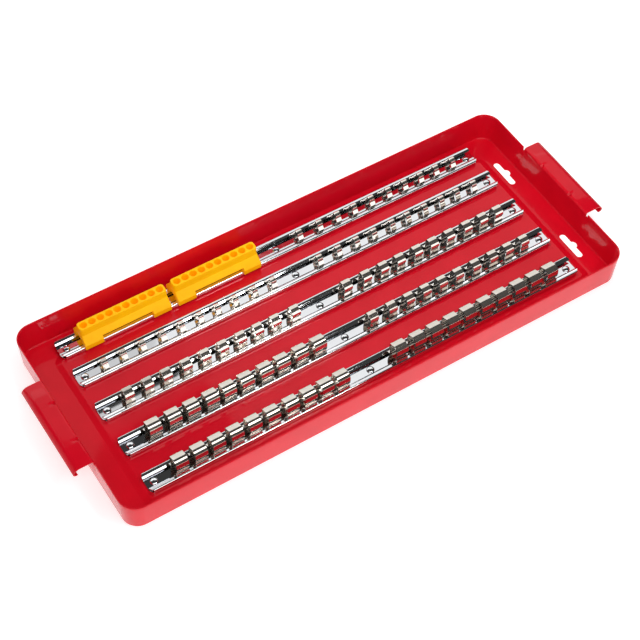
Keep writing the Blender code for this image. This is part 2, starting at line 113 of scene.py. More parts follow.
def offsetPath(path, distance):
    # shifts an open path to its right-hand side
    shifted = []
    for index, point in enumerate(path):
        normals = []
        for start, end in ((index - 1, index), (index, index + 1)):
            if start < 0 or end >= len(path):
                continue
            run = Vector(path[end]) - Vector(path[start])
            normals.append(Vector((run.y, -run.x)).normalized())
        mitre = normals[0] if len(normals) == 1 else (
            (normals[0] + normals[1]) / (1 + normals[0].dot(normals[1])))
        shifted.append(tuple(Vector(point) + mitre * distance))
    return shifted


def shadeSmooth(mesh):
    mesh.shade_smooth()
    mesh.set_sharp_from_angle(angle=math.radians(shared["smoothAngle"]))
    return mesh


def asMesh(name, shape):
    bmesh.ops.recalc_face_normals(shape, faces=shape.faces)
    mesh = bpy.data.meshes.new(name)
    shape.to_mesh(mesh)
    shape.free()
    return shadeSmooth(mesh)


def softenEdges(shape, width, angle=55, segments=2):
    sharp = [edge for edge in shape.edges
             if edge.is_manifold and edge.calc_face_angle() > math.radians(angle)]
    bmesh.ops.bevel(shape, geom=sharp, offset=width, segments=segments, profile=0.5,
                    affect="EDGES", clamp_overlap=True)


def bentStrip(name, path, thickness, width, softness):
    # a strip that follows a path across the rails, drawn out along X
    shape = bmesh.new()
    inner = offsetPath(path, thickness)
    ends = []
    for along in (-width / 2, width / 2):
        outside = [shape.verts.new((along, across, up)) for across, up in path]
        inside = [shape.verts.new((along, across, up)) for across, up in inner]
        ends.append((outside, inside))
    (nearOut, nearIn), (farOut, farIn) = ends
    for index in range(len(path) - 1):
        after = index + 1
        shape.faces.new((nearOut[index], nearOut[after], farOut[after], farOut[index]))
        shape.faces.new((nearIn[index], farIn[index], farIn[after], nearIn[after]))
        shape.faces.new((nearOut[index], nearIn[index], nearIn[after], nearOut[after]))
        shape.faces.new((farOut[index], farOut[after], farIn[after], farIn[index]))
    for index in (0, len(path) - 1):
        shape.faces.new((nearOut[index], farOut[index], farIn[index], nearIn[index]))
    softenEdges(shape, softness)
    return asMesh(name, shape)


def drawnOutline(name, outline, length, upright=False):
    # a closed outline drawn out along X, or along Z when it lies flat
    shape = bmesh.new()
    ends = []
    for along in (-length / 2, length / 2):
        if upright:
            ends.append([shape.verts.new((along, first, second)) for first, second in outline])
        else:
            ends.append([shape.verts.new((first, second, along)) for first, second in outline])
    near, far = ends
    for index in range(len(outline)):
        after = (index + 1) % len(outline)
        shape.faces.new((near[index], near[after], far[after], far[index]))
    shape.faces.new(near)
    shape.faces.new(far)
    return asMesh(name, shape)


def settle(item):
    # the mesh that an item's modifiers give, in place of the item
    bpy.context.view_layer.update()
    mesh = bpy.data.meshes.new_from_object(
        item.evaluated_get(bpy.context.evaluated_depsgraph_get()))
    bpy.data.objects.remove(item)
    return mesh


def combineMeshes(base, tool, operation="DIFFERENCE", move=(0, 0, 0)):
    baseItem = bpy.data.objects.new("base", base)
    toolItem = bpy.data.objects.new("tool", tool)
    toolItem.location = move
    for item in (baseItem, toolItem):
        bpy.context.scene.collection.objects.link(item)
    modifier = baseItem.modifiers.new("Combine", "BOOLEAN")
    modifier.operation = operation
    modifier.solver = "EXACT"
    modifier.object = toolItem
    result = settle(baseItem)
    result.name = base.name
    bpy.data.objects.remove(toolItem)
    return shadeSmooth(result)


def turnedShape(shape, profile, place, sides):
    # closed profile of (radius, level) turned round the upright through a place
    verts = [shape.verts.new((place[0] + radius, place[1], level))
             for radius, level in profile]
    edges = [shape.edges.new(pair) for pair in zip(verts, verts[1:])]
    bmesh.ops.spin(shape, geom=verts + edges, cent=(place[0], place[1], 0), axis=(0, 0, 1),
                   angle=math.radians(360), steps=sides, use_merge=True)
    bmesh.ops.remove_doubles(shape, verts=shape.verts, dist=shared["weld"])


def addPiece(name, mesh, body, material, stands=(), place=(0, 0, 0)):
    if not mesh.materials:
        mesh.materials.append(material)
    piece = bpy.data.objects.new(name, mesh)
    piece.location = place
    bpy.context.scene.collection.objects.link(piece)
    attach(piece, body)
    if stands:
        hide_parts(*stands)
    return piece


# ---- effects that several finishes use

def newGroup(name, inputs, outputs):
    group = bpy.data.node_groups.new(name, "ShaderNodeTree")
    for label, kind, value in inputs:
        socket = group.interface.new_socket(name=label, in_out="INPUT", socket_type=kind)
        socket.default_value = value
    for label, kind in outputs:
        group.interface.new_socket(name=label, in_out="OUTPUT", socket_type=kind)
    return group, group.nodes.new("NodeGroupInput"), group.nodes.new("NodeGroupOutput")


def multiply(tree, first, second):
    node = tree.nodes.new("ShaderNodeMath")
    node.operation = "MULTIPLY"
    tree.links.new(first, node.inputs[0])
    tree.links.new(second, node.inputs[1])
    return node.outputs[0]


def makeRipple():
    # the slow waviness of a painted or moulded skin
    group, start, end = newGroup("skinRipple", (
        ("Scale", "NodeSocketFloat", 300.0),
        ("Depth", "NodeSocketFloat", 0.1),
    ), (("Height", "NodeSocketFloat"),))
    place = group.nodes.new("ShaderNodeTexCoord")
    noise = group.nodes.new("ShaderNodeTexNoise")
    noise.inputs["Detail"].default_value = 2.0
    group.links.new(place.outputs["Object"], noise.inputs["Vector"])
    group.links.new(start.outputs["Scale"], noise.inputs["Scale"])
    height = multiply(group, noise.outputs["Fac"], start.outputs["Depth"])
    group.links.new(height, end.inputs["Height"])
    return group


def makeDrawMarks():
    # fine lines that the strip took in the rolls, along its length
    group, start, end = newGroup("drawMarks", (
        ("Stretch", "NodeSocketVector", (1.0, 1.0, 1.0)),
        ("Scale", "NodeSocketFloat", 800.0),
        ("Depth", "NodeSocketFloat", 0.1),
    ), (("Height", "NodeSocketFloat"), ("Mask", "NodeSocketFloat")))
    place = group.nodes.new("ShaderNodeTexCoord")
    stretch = group.nodes.new("ShaderNodeVectorMath")
    stretch.operation = "MULTIPLY"
    noise = group.nodes.new("ShaderNodeTexNoise")
    noise.inputs["Detail"].default_value = 3.0
    group.links.new(place.outputs["Object"], stretch.inputs[0])
    group.links.new(start.outputs["Stretch"], stretch.inputs[1])
    group.links.new(stretch.outputs[0], noise.inputs["Vector"])
    group.links.new(start.outputs["Scale"], noise.inputs["Scale"])
    height = multiply(group, noise.outputs["Fac"], start.outputs["Depth"])
    group.links.new(height, end.inputs["Height"])
    group.links.new(noise.outputs["Fac"], end.inputs["Mask"])
    return group


def makeMottle():
    # slow change between two tones
    group, start, end = newGroup("toneMottle", (
        ("Light Tone", "NodeSocketColor", (1, 1, 1, 1)),
        ("Deep Tone", "NodeSocketColor", (0.5, 0.5, 0.5, 1)),
        ("Scale", "NodeSocketFloat", 20.0),
    ), (("Color", "NodeSocketColor"), ("Mask", "NodeSocketFloat")))
    place = group.nodes.new("ShaderNodeTexCoord")
    noise = group.nodes.new("ShaderNodeTexNoise")
    noise.inputs["Detail"].default_value = 4.0
    spread = group.nodes.new("ShaderNodeMapRange")
    spread.inputs["From Min"].default_value = 0.35
    spread.inputs["From Max"].default_value = 0.65
    mix = group.nodes.new("ShaderNodeMix")
    mix.data_type = "RGBA"
    group.links.new(place.outputs["Object"], noise.inputs["Vector"])
    group.links.new(start.outputs["Scale"], noise.inputs["Scale"])
    group.links.new(noise.outputs["Fac"], spread.inputs["Value"])
    group.links.new(spread.outputs["Result"], mix.inputs["Factor"])
    group.links.new(start.outputs["Light Tone"], mix.inputs["A"])
    group.links.new(start.outputs["Deep Tone"], mix.inputs["B"])
    group.links.new(mix.outputs["Result"], end.inputs["Color"])
    group.links.new(spread.outputs["Result"], end.inputs["Mask"])
    return group


effects = {"ripple": makeRipple(), "marks": makeDrawMarks(), "mottle": makeMottle()}
print("effects ready")


# ---- finishes

def useEffect(tree, effect, **values):
    node = tree.nodes.new("ShaderNodeGroup")
    node.node_tree = effects[effect]
    for label, value in values.items():
        node.inputs[label].default_value = value
    return node


def newFinish(name, **values):
    material = bpy.data.materials.new(name)
    material.use_nodes = True
    tree = material.node_tree
    shader = tree.nodes["Principled BSDF"]
    for label, value in values.items():
        shader.inputs[label.replace("_", " ")].default_value = value
    return material, tree, shader


def toneFrom(tree, shader, look):
    mottle = useEffect(tree, "mottle", Scale=look["mottleScale"])
    mottle.inputs["Light Tone"].default_value = look["lightTone"]
    mottle.inputs["Deep Tone"].default_value = look["deepTone"]
    tree.links.new(mottle.outputs["Color"], shader.inputs["Base Color"])
    return mottle


def bumpFrom(tree, shader, height, distance, strength):
    bump = tree.nodes.new("ShaderNodeBump")
    bump.inputs["Distance"].default_value = distance
    bump.inputs["Strength"].default_value = strength
    tree.links.new(height, bump.inputs["Height"])
    tree.links.new(bump.outputs["Normal"], shader.inputs["Normal"])


def rangeFrom(tree, mask, low, high, socket):
    spread = tree.nodes.new("ShaderNodeMapRange")
    spread.inputs["To Min"].default_value = low
    spread.inputs["To Max"].default_value = high
    tree.links.new(mask, spread.inputs["Value"])
    tree.links.new(spread.outputs["Result"], socket)


redPaintLook = {
    "lightTone": (0.720, 0.0042, 0.0180, 1),
    "deepTone": (0.670, 0.0033, 0.0155, 1),
    "roughness": (0.20, 0.26),
    "coat": 0.38,
    "shine": 0.08,
    "coatRoughness": 0.05,
    "mottleScale": 35.0,
    "rippleScale": 420.0,
    "bump": (0.00002, 0.35),  # here and below: distance, then strength
}


def makeRedPaint():
    look = redPaintLook
    material, tree, shader = newFinish("red powder paint", Coat_Weight=look["coat"],
                                       Specular_IOR_Level=look["shine"],
                                       Coat_Roughness=look["coatRoughness"])
    mottle = toneFrom(tree, shader, look)
    rangeFrom(tree, mottle.outputs["Mask"], *look["roughness"], shader.inputs["Roughness"])
    ripple = useEffect(tree, "ripple", Scale=look["rippleScale"], Depth=1.0)
    bumpFrom(tree, shader, ripple.outputs["Height"], *look["bump"])
    return material


chromeLook = {
    "tone": (0.78, 0.79, 0.81, 1),
    "roughness": (0.02, 0.06),
    "marksScale": 900.0,
    "marksStretch": (0.04, 1.0, 1.0),
    "bump": (0.00001, 0.05),
}


def makeChrome():
    look = chromeLook
    material, tree, shader = newFinish("bright chrome", Metallic=1.0, Base_Color=look["tone"])
    marks = useEffect(tree, "marks", Scale=look["marksScale"], Depth=1.0)
    marks.inputs["Stretch"].default_value = look["marksStretch"]
    rangeFrom(tree, marks.outputs["Mask"], *look["roughness"], shader.inputs["Roughness"])
    bumpFrom(tree, shader, marks.outputs["Height"], *look["bump"])
    return material


nickelLook = {
    "lightTone": (0.84, 0.79, 0.72, 1),
    "deepTone": (0.74, 0.68, 0.60, 1),
    "metallic": 0.95,
    "roughness": (0.05, 0.11),
    "mottleScale": 160.0,
    "marksScale": 1500.0,
    "marksStretch": (1.0, 0.08, 0.08),
    "bump": (0.00001, 0.04),
}


def makeNickel():
    look = nickelLook
    material, tree, shader = newFinish("nickel spring steel", Metallic=look["metallic"])
    toneFrom(tree, shader, look)
    marks = useEffect(tree, "marks", Scale=look["marksScale"], Depth=1.0)
    marks.inputs["Stretch"].default_value = look["marksStretch"]
    rangeFrom(tree, marks.outputs["Mask"], *look["roughness"], shader.inputs["Roughness"])
    bumpFrom(tree, shader, marks.outputs["Height"], *look["bump"])
    return material


yellowLook = {
    "lightTone": (0.98, 0.53, 0.001, 1),
    "deepTone": (0.95, 0.48, 0.001, 1),
    "roughness": (0.40, 0.50),
    "shine": 0.2,
    # the two emission values below are painted light: an orange glow that brightens the
    # plastic and its holes as if more light fell there; the plastic is no lamp
    "paintedGlowTone": (1.0, 0.42, 0.0, 1),
    "paintedGlowStrength": 0.2,
    "mottleScale": 60.0,
    "rippleScale": 1400.0,
    "bump": (0.00003, 0.4),
}


def makeYellow():
    look = yellowLook
    # the emission is painted light, a glow that lightens the whole plastic, the holes too
    material, tree, shader = newFinish("yellow moulded plastic",
                                       Specular_IOR_Level=look["shine"],
                                       Emission_Color=look["paintedGlowTone"],
                                       Emission_Strength=look["paintedGlowStrength"])
    mottle = toneFrom(tree, shader, look)
    rangeFrom(tree, mottle.outputs["Mask"], *look["roughness"], shader.inputs["Roughness"])
    ripple = useEffect(tree, "ripple", Scale=look["rippleScale"], Depth=1.0)
    bumpFrom(tree, shader, ripple.outputs["Height"], *look["bump"])
    return material


finishes = {"paint": makeRedPaint(), "chrome": makeChrome(), "nickel": makeNickel(),
            "yellow": makeYellow()}
print("finishes ready")


# ---- tray

trayLook = {
    "rimCorner": 0.0170,
    "draft": 0.0015,
    "floorFillet": 0.0018,
    "platformEnd": 0.0024,
    "platformFront": 0.0041,
    "platformBack": 0.0170,
    "platformCorner": 0.0040,
    "platformRun": 0.0062,
    "platformCrease": 0.0048,
    "slopeLead": 0.0040,  # flat stretches before and after the platform's slope
    "slopeTail": 0.0030,
    "cornerLoss": 0.0030,  # most that the platform's corner tightens towards its top
    "handleLength": 0.0976,
    "handleRise": 0.0008,
    "handleBend": 0.0025,
    "handleFlat": 0.0105,
    "handleRoll": 0.0078,
    "handleDrop": 0.0018,  # from the bend down to where the handle leaves the wall
    "foldDrop": 0.0012,
    "rollEnd": 25,  # degrees
    "curl": 0.0030,
    "curlEnd": -120,
    "notch": 0.0025,
    "notchEdge": 0.85,  # share of the notch at the start of its last step
    "dentSpacing": 0.0430,
    "dentWidth": 0.0042,
    "dentReach": 0.0052,
    "dentEdge": 0.0005,
    "dentDepth": 0.0028,
    "dentStart": (0.55, 0.45),  # share of the depth at the wall, and what the bend adds
    "dentFade": (0.45, 0.35),  # share of the reach, and of the depth there
    "edgeSoftness": 0.00025,
    "edgeAngle": 60,
    "slopeSteps": 5,
    "bendSteps": 6,
    "rollSteps": 8,
    "curlSteps": 9,
    "cornerSteps": 14,
    "stationGap": 0.0001,  # how close a point is to a dent's middle to be in it
}


def handleStations():
    look = trayLook
    end = look["handleLength"] / 2
    dent = look["dentSpacing"] / 2
    edge = look["dentWidth"] / 2
    lip = look["notch"]
    rim = edge + look["dentEdge"]
    half = (dent - rim, dent - edge, dent, dent + edge, dent + rim, end,
            end + lip * look["notchEdge"], end + lip)
    return [-place for place in reversed(half)] + list(half)


def trayRing(shape, halfX, halfY, corner, level, middleY=0.0):
    outline = roundedBox(halfX, halfY, (corner, corner), trayLook["cornerSteps"], middleY)
    half = len(outline) // 2
    right = [(halfX, place) for place in handleStations()]
    left = [(-halfX, place) for place in reversed(handleStations())]
    points = right + outline[:half] + left + outline[half:]
    return [shape.verts.new((along, across, level)) for along, across in points]


def wallRing(shape, inset, level):
    sheet = shared["sheet"]
    return trayRing(shape, shared["halfLength"] - sheet - inset,
                    shared["halfDepth"] - sheet - inset,
                    trayLook["rimCorner"] - sheet - inset, level)


def joinRings(shape, inner, outer, closed=True):
    count = len(inner)
    for index in range(count if closed else count - 1):
        after = (index + 1) % count
        shape.faces.new((inner[index], outer[index], outer[after], inner[after]))


def handleSection():
    # distance from the wall, level, and share of the dents' depth
    look = trayLook
    top = shared["trayHeight"] + look["handleRise"]
    bend = look["handleBend"]
    section = [(0, top - bend - look["handleDrop"], 0.0)]
    wallShare, bendShare = look["dentStart"]
    for turn in quarterTurns(look["bendSteps"]):
        share = wallShare + bendShare * math.sin(2 * turn)
        section.append((bend * (1 - math.cos(turn)), top - bend * (1 - math.sin(turn)), share))
    flatEnd = bend + look["handleFlat"]
    fadeReach, fadeShare = look["dentFade"]
    section.append((bend + look["dentReach"] * fadeReach, top, fadeShare))
    section.append((bend + look["dentReach"], top, 0.0))
    section.append((bend + look["dentReach"] + look["dentEdge"], top, 0.0))
    rollEnd = math.radians(look["rollEnd"])
    roll = arcPoints((flatEnd, top - look["handleRoll"]), look["handleRoll"],
                     math.radians(90), rollEnd, look["rollSteps"])
    out, up = roll[-1]
    centre = (out - look["curl"] * math.cos(rollEnd), up - look["curl"] * math.sin(rollEnd))
    curl = arcPoints(centre, look["curl"], rollEnd, math.radians(look["curlEnd"]),
                     look["curlSteps"])
    return section + [(out, up, 0.0) for out, up in roll + curl[1:]]


def addHandle(shape, wall, side):
    look = trayLook
    dents = (-look["dentSpacing"] / 2, look["dentSpacing"] / 2)
    start = wall[0].co.x
    row = wall
    for out, level, share in handleSection():
        outer = []
        for vertex in wall:
            isDent = any(abs(vertex.co.y - dent) < look["stationGap"] for dent in dents)
            push = look["dentDepth"] * share * math.sqrt(0.5) if isDent else 0
            outer.append(shape.verts.new((start + side * (out + push), vertex.co.y,
                                          level - push)))
        joinRings(shape, row, outer, closed=False)
        row = outer


def makeTraySheet():
    look = trayLook
    sheet = shared["sheet"]
    shape = bmesh.new()
    halfX = shared["railHalf"] + look["platformEnd"]
    front = shared["rows"][4] - shared["railWidth"] / 2 - look["platformFront"]
    back = shared["rows"][1] + shared["railWidth"] / 2 + look["platformBack"]
    middle = (front + back) / 2
    halfY = (back - front) / 2
    run = look["platformRun"]
    crease = look["platformCrease"]
    slope = roundPath(((-look["slopeLead"], shared["platformLevel"], 0),
                       (0, shared["platformLevel"], crease), (run, sheet, crease),
                       (run + look["slopeTail"], sheet, 0)), look["slopeSteps"])
    rings = []
    for out, level in slope[1:-1]:
        corner = look["platformCorner"] + max(out, -look["cornerLoss"])
        rings.append(trayRing(shape, halfX + out, halfY + out, corner, level, middle))
    fillet = look["floorFillet"]
    for turn in quarterTurns(look["bendSteps"]):
        rings.append(wallRing(shape, look["draft"] + fillet * (1 - math.sin(turn)),
                              sheet + fillet * (1 - math.cos(turn))))
    foldLevel = shared["trayHeight"] - look["handleBend"] - look["foldDrop"]
    left = look["draft"] * (shared["trayHeight"] - foldLevel) / shared["trayHeight"]
    rings.append(wallRing(shape, left, foldLevel))
    shape.faces.new(rings[0])
    for inner, outer in zip(rings, rings[1:]):
        joinRings(shape, inner, outer)

    # the rim leaves out the handles and drops into the notches beside them
    fold = rings[-1]
    rim = wallRing(shape, 0, shared["trayHeight"])
    stations = len(handleStations())
    half = len(rim) // 2
    inHandle = {side * half + index for side in (0, 1) for index in range(1, stations - 1)}
    for index in range(len(rim)):
        after = (index + 1) % len(rim)
        corners = [fold[index], rim[index], rim[after], fold[after]]
        if index in inHandle:
            corners.remove(rim[index])
        if after in inHandle:
            corners.remove(rim[after])
        if len(corners) > 2:
            shape.faces.new(corners)
    for index in sorted(inHandle):
        shape.verts.remove(rim[index])
    addHandle(shape, fold[2:stations - 2], 1)
    addHandle(shape, fold[half + 2:half + stations - 2], -1)
    mesh = bpy.data.meshes.new("traySheet")
    shape.to_mesh(mesh)
    shape.free()
    return mesh


slotLook = {"length": 0.0320, "width": 0.0066, "spacing": 0.1080, "inset": 0.0173,
            "bump": 0.0044, "bumpShift": 0.0018, "bumpSteps": 14, "endSteps": 12,
            "cutDepth": 0.0040}


def slotOutline():
    look = slotLook
    halfWidth = look["width"] / 2
    end = look["length"] / 2 - halfWidth
    chord = math.acos((halfWidth - look["bumpShift"]) / look["bump"])
    bump = arcPoints((look["bumpShift"], 0), look["bump"], -chord, chord, look["bumpSteps"])
    back = arcPoints((0, end), halfWidth, 0, math.radians(180), look["endSteps"])
    front = arcPoints((0, -end), halfWidth, math.radians(180), math.radians(360),
                      look["endSteps"])
    return bump + back + front


padLook = {  # radius and level of each point of the outside and of the hollow below
    "outside": ((0, 0.0005), (0.0080, 0.0005), (0.0055, 0.0033), (0, 0.0033)),
    "hollow": ((0, -0.001), (0.0070, -0.001), (0.0045, 0.0023), (0, 0.0023)),
    "sides": 28,
}


def makeTray():
    look = trayLook
    item = bpy.data.objects.new("sheet", makeTraySheet())
    bpy.context.scene.collection.objects.link(item)
    thick = item.modifiers.new("Sheet", "SOLIDIFY")
    thick.thickness = shared["sheet"]
    thick.offset = -1
    thick.use_even_offset = True
    soft = item.modifiers.new("Edges", "BEVEL")
    soft.width = look["edgeSoftness"]
    soft.segments = 2
    soft.limit_method = "ANGLE"
    soft.angle_limit = math.radians(look["edgeAngle"])
    mesh = settle(item)

    # pads carry the back rail behind the platform
    pads = bmesh.new()
    hollows = bmesh.new()
    end = shared["railHalf"] - shared["rivetInset"]
    row = shared["rows"][0]
    for along in (-end, 0.0, end):
        turnedShape(pads, padLook["outside"], (along, row), padLook["sides"])
        turnedShape(hollows, padLook["hollow"], (along, row), padLook["sides"])
    mesh = combineMeshes(mesh, asMesh("pads", pads), "UNION")
    mesh = combineMeshes(mesh, asMesh("hollows", hollows))

    slot = drawnOutline("slot", slotOutline(), slotLook["cutDepth"])
    for side in (-1, 1):
        place = (shared["halfLength"] - slotLook["inset"], side * slotLook["spacing"] / 2, 0)
        mesh = combineMeshes(mesh, slot, move=place)
    addPiece("traySheet", mesh, "tray_body", finishes["paint"], ("tray",))


makeTray()
print("tray made")


# ---- rails and rivets

railLook = {
    "sheet": 0.0009,
    "foot": 0.0036,
    "bend": 0.0013,
    "frontBend": 0.0025,
    "backCorner": 0.0045,
    "frontCorner": 0.0070,
    "lipFold": 0.0070,
    "foldLevel": 0.0084,
    "lipBend": 0.0013,
    "lipEdge": 0.0053,
    "edgeLevel": 0.0073,
    "topLevel": 0.0088,
    "floorReach": 0.0065,
    "floorBend": 0.0080,
    "frontRise": 0.00045,  # the back rail's floor leans a little: it mirrors the wall
    "backDrop": 0.00015,
    "softness": 0.00012,
    "bendSteps": 6,
    "cornerSteps": 10,
    "overrun": 0.0010,
    "planDepth": 0.0300,
}


def railPath(frontRise, backDrop):
    look = railLook
    half = shared["railWidth"] / 2
    fold = look["lipFold"]
    back = [(look["lipEdge"], look["edgeLevel"], 0),
            (fold, look["foldLevel"], look["lipBend"]),
            (half, look["topLevel"], look["bend"]), (half, look["foot"], look["bend"])]
    floor = [(look["floorReach"], look["foot"] - backDrop, look["floorBend"]),
             (-look["floorReach"], look["foot"] + frontRise, look["floorBend"])]
    front = [(-half, look["foot"], look["bend"]), (-half, look["topLevel"], look["frontBend"]),
             (-fold, look["foldLevel"], look["lipBend"]),
             (-look["lipEdge"], look["edgeLevel"], 0)]
    return roundPath(back + (floor if frontRise else []) + front, look["bendSteps"])


def makeRails():
    look = railLook
    overrun = look["overrun"]
    leaning = (look["frontRise"], look["backDrop"])
    plan = roundedBox(shared["railHalf"], shared["railWidth"] / 2 + overrun,
                      (look["backCorner"] + overrun, look["frontCorner"] + overrun),
                      look["cornerSteps"])
    meshes = []
    for name, lean in (("rail", (0, 0)), ("leaningRail", leaning)):
        strip = bentStrip(name, railPath(*lean), look["sheet"],
                          2 * shared["railHalf"] + 2 * overrun, look["softness"])
        meshes.append(combineMeshes(
            strip, drawnOutline(name + "Plan", plan, look["planDepth"]), "INTERSECT"))
    for row, place in enumerate(shared["rows"]):
        mesh = meshes[1] if row == 0 else meshes[0]
        addPiece(f"channel{row + 1}", mesh, "tray_body", finishes["chrome"],
                 (f"rail_{row + 1}",), (0, place, 0))


rivetLook = {"radius": 0.0037, "rim": 0.0004, "dome": 0.0014, "domeSteps": 8, "sides": 28}


def makeRivets():
    look = rivetLook
    base = shared["railFloor"]
    radius = look["radius"]
    profile = [(0, base + look["rim"] + look["dome"])]
    for turn in quarterTurns(look["domeSteps"])[1:]:
        profile.append((radius * math.sin(turn),
                        base + look["rim"] + look["dome"] * math.cos(turn)))
    profile += [(radius, base), (0, base)]
    shape = bmesh.new()
    turnedShape(shape, profile, (0, 0), look["sides"])
    mesh = asMesh("rivetHead", shape)
    end = shared["railHalf"] - shared["rivetInset"]
    for row, place in enumerate(shared["rows"]):
        for label, along in (("Left", -end), ("Middle", 0), ("Right", end)):
            addPiece(f"rivet{label}{row + 1}", mesh, "tray_body", finishes["chrome"],
                     place=(along, place, 0))


makeRails()
makeRivets()
print("rails and rivets made")


# ---- spring clips

# Corners from the front foot to the back foot: distance from the rail's middle, height
# above its lips, and the radius that the strip is bent to
clipLook = {
    "half_inch": {"label": "halfInch", "width": 0.0122, "shift": 0, "corners": (
        (-0.0059, 0.0006, 0.0010), (-0.0067, 0.0070, 0.0030), (-0.0063, 0.0119, 0.0018),
        (-0.0034, 0.0141, 0.0060), (-0.0008, 0.0150, 0.0009), (0.0061, 0.0120, 0.0015),
        (0.0067, 0.0070, 0.0030), (0.0059, 0.0006, 0.0010))},
    "three_eighths": {"label": "threeEighths", "width": 0.0088, "shift": -0.0003, "corners": (
        (-0.0060, 0.0006, 0.0008), (-0.0042, 0.0028, 0.0010), (-0.0056, 0.0068, 0.0010),
        (-0.0052, 0.0092, 0.0008), (-0.0040, 0.0109, 0.0008), (-0.0006, 0.0123, 0.0008),
        (0.0030, 0.0123, 0.0008), (0.0048, 0.0105, 0.0010), (0.0055, 0.0070, 0.0012),
        (0.0058, 0.0006, 0.0010))},
    "quarter_inch": {"label": "quarterInch", "width": 0.0054, "shift": 0.0003, "corners": (
        (-0.0059, 0.0004, 0.0008), (-0.0034, 0.0036, 0.0008), (-0.0031, 0.0062, 0.0008),
        (-0.0012, 0.0082, 0.0008), (0.0012, 0.0082, 0.0008), (0.0031, 0.0062, 0.0008),
        (0.0034, 0.0036, 0.0008), (0.0059, 0.0004, 0.0008))},
}
clipStrip = {
    "thickness": 0.0007,
    "softness": 0.00010,
    "footBend": 0.0049,
    "bendLevel": 0.0066,
    "footRadius": 0.0006,
    "reach": 0.0088,
    "reachLevel": 0.0060,
    "bendSteps": 5,
}

# Middles of the clips of each group in millimetres, from the middle of the rail outwards
clipPlaces = {
    (1, "right"): ("quarter_inch", (
        25.3, 47.7, 68.3, 87.3, 107.2, 127.3, 146.2, 165.0, 183.3, 203.1)),
    (2, "right"): ("quarter_inch", (
        25.3, 46.6, 66.9, 86.7, 107.6, 125.6, 145.5, 165.1, 183.4, 203.3)),
    (3, "right"): ("three_eighths", (
        28.5, 50.1, 69.6, 88.0, 107.8, 126.0, 145.0, 165.1, 183.6, 201.3)),
    (4, "right"): ("three_eighths", (
        29.2, 50.1, 69.6, 88.0, 106.5, 125.1, 144.7, 164.4, 182.7, 201.0)),
    (5, "right"): ("half_inch", (
        30.2, 50.0, 68.8, 87.6, 106.0, 124.9, 143.0, 162.7, 181.1, 199.7)),
    (2, "left"): ("quarter_inch", (
        26.0, 46.5, 66.9, 85.7, 103.9, 123.5, 143.1, 164.0, 183.3, 202.5)),
    (3, "left"): ("three_eighths", (
        28.2, 48.7, 67.3, 85.3, 104.1, 122.5, 141.8, 162.0, 180.9, 200.5)),
    (4, "left"): ("half_inch", (
        29.7, 48.9, 68.0, 85.6, 105.5, 124.0, 141.5, 160.7, 179.2, 198.8)),
    (5, "left"): ("half_inch", (
        32.1, 49.1, 67.0, 85.2, 104.5, 123.4, 141.6, 160.0, 178.0, 196.7)),
}


def clipPath(look):
    lip = shared["lipTop"]
    bend = (clipStrip["footBend"], clipStrip["bendLevel"], clipStrip["footRadius"])
    end = (clipStrip["reach"], clipStrip["reachLevel"], 0)
    corners = [(-end[0], *end[1:]), (-bend[0], *bend[1:])]
    corners += [(across, lip + up, radius) for across, up, radius in look["corners"]]
    return roundPath(corners + [bend, end], clipStrip["bendSteps"])


def makeClips():
    meshes = {}
    for style, look in clipLook.items():
        meshes[style] = bentStrip(look["label"] + "Clip", clipPath(look),
                                  clipStrip["thickness"], look["width"],
                                  clipStrip["softness"])
    for (row, side), (style, places) in clipPlaces.items():
        sign = 1 if side == "right" else -1
        for index, along in enumerate(places):
            look = clipLook[style]
            place = (sign * along / 1000 + look["shift"], shared["rows"][row - 1], 0)
            node = f"{style}_clip_{row}_{side}_{index + 1}"
            label = f"{look['label']}Clip{row}{side.title()}{index + 1}"
            if node in nodes:
                low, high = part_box(node)
                place = ((low.x + high.x) / 2 + look["shift"], place[1], 0)
                addPiece(label, meshes[style], node, finishes["nickel"],
                         (node,), place)
            else:
                addPiece(label, meshes[style], "tray_body", finishes["nickel"],
                         place=place)


makeClips()
print("clips made")


# ---- bit holders

holderLook = {
    "length": 0.08863,
    "top": 0.0273,
    "topSoftness": 0.0007,
    "topSteps": 4,
    "cornerSteps": 6,
    "levels": (  # level, half width and corner radius
        (0.0273, 0.0049, 0.0028), (0.0192, 0.0056, 0.0028), (0.0132, 0.0115, 0.0006),
        (0.0118, 0.0125, 0.0006), (0.0060, 0.0125, 0.0006)),
    "footLength": 0.0184,
    "overrun": 0.0010,
    # what is cut away, in section across the rail: below each skirt, between the feet,
    # and the hollow inside
    "underCut": ((0.0050, 0.0090), (0.0110, 0.0090), (0.0110, 0.0068), (0.0140, 0.0068),
                 (0.0140, 0.0050), (0.0050, 0.0050)),
    "recess": ((0.0069, 0.0146), (0.0140, 0.0146), (0.0140, 0.0050), (0.01085, 0.0050),
               (0.01085, 0.00885), (0.0069, 0.00885)),
    "cavity": ((-0.0056, 0.0050), (0.0056, 0.0050), (0.0056, 0.0130), (-0.0056, 0.0130)),
    "holes": 10,
    "holePitch": 0.00867,
    "holeRadius": 0.00345,
    "holeTaper": 0.0001,
    "holeDepth": 0.0130,
    "holeMouth": 0.0003,
    "holeSides": 32,
}


def holderRing(shape, halfX, halfY, corner, level):
    points = roundedBox(halfX, halfY, (corner, corner), holderLook["cornerSteps"])
    return [shape.verts.new((along, across, level)) for along, across in points]


def makeHolderBody():
    look = holderLook
    shape = bmesh.new()
    softness = look["topSoftness"]
    halfX = look["length"] / 2
    (top, halfY, corner), *lower = look["levels"]
    rings = []
    for turn in quarterTurns(look["topSteps"]):
        inset = softness * (1 - math.sin(turn))
        rings.append(holderRing(shape, halfX - inset, halfY - inset, corner - inset,
                                top - softness * (1 - math.cos(turn))))
    for level, halfY, corner in lower:
        rings.append(holderRing(shape, halfX, halfY, corner, level))
    shape.faces.new(rings[0])
    shape.faces.new(rings[-1])
    for first, second in zip(rings, rings[1:]):
        joinRings(shape, first, second)
    return asMesh("bitHolder", shape)


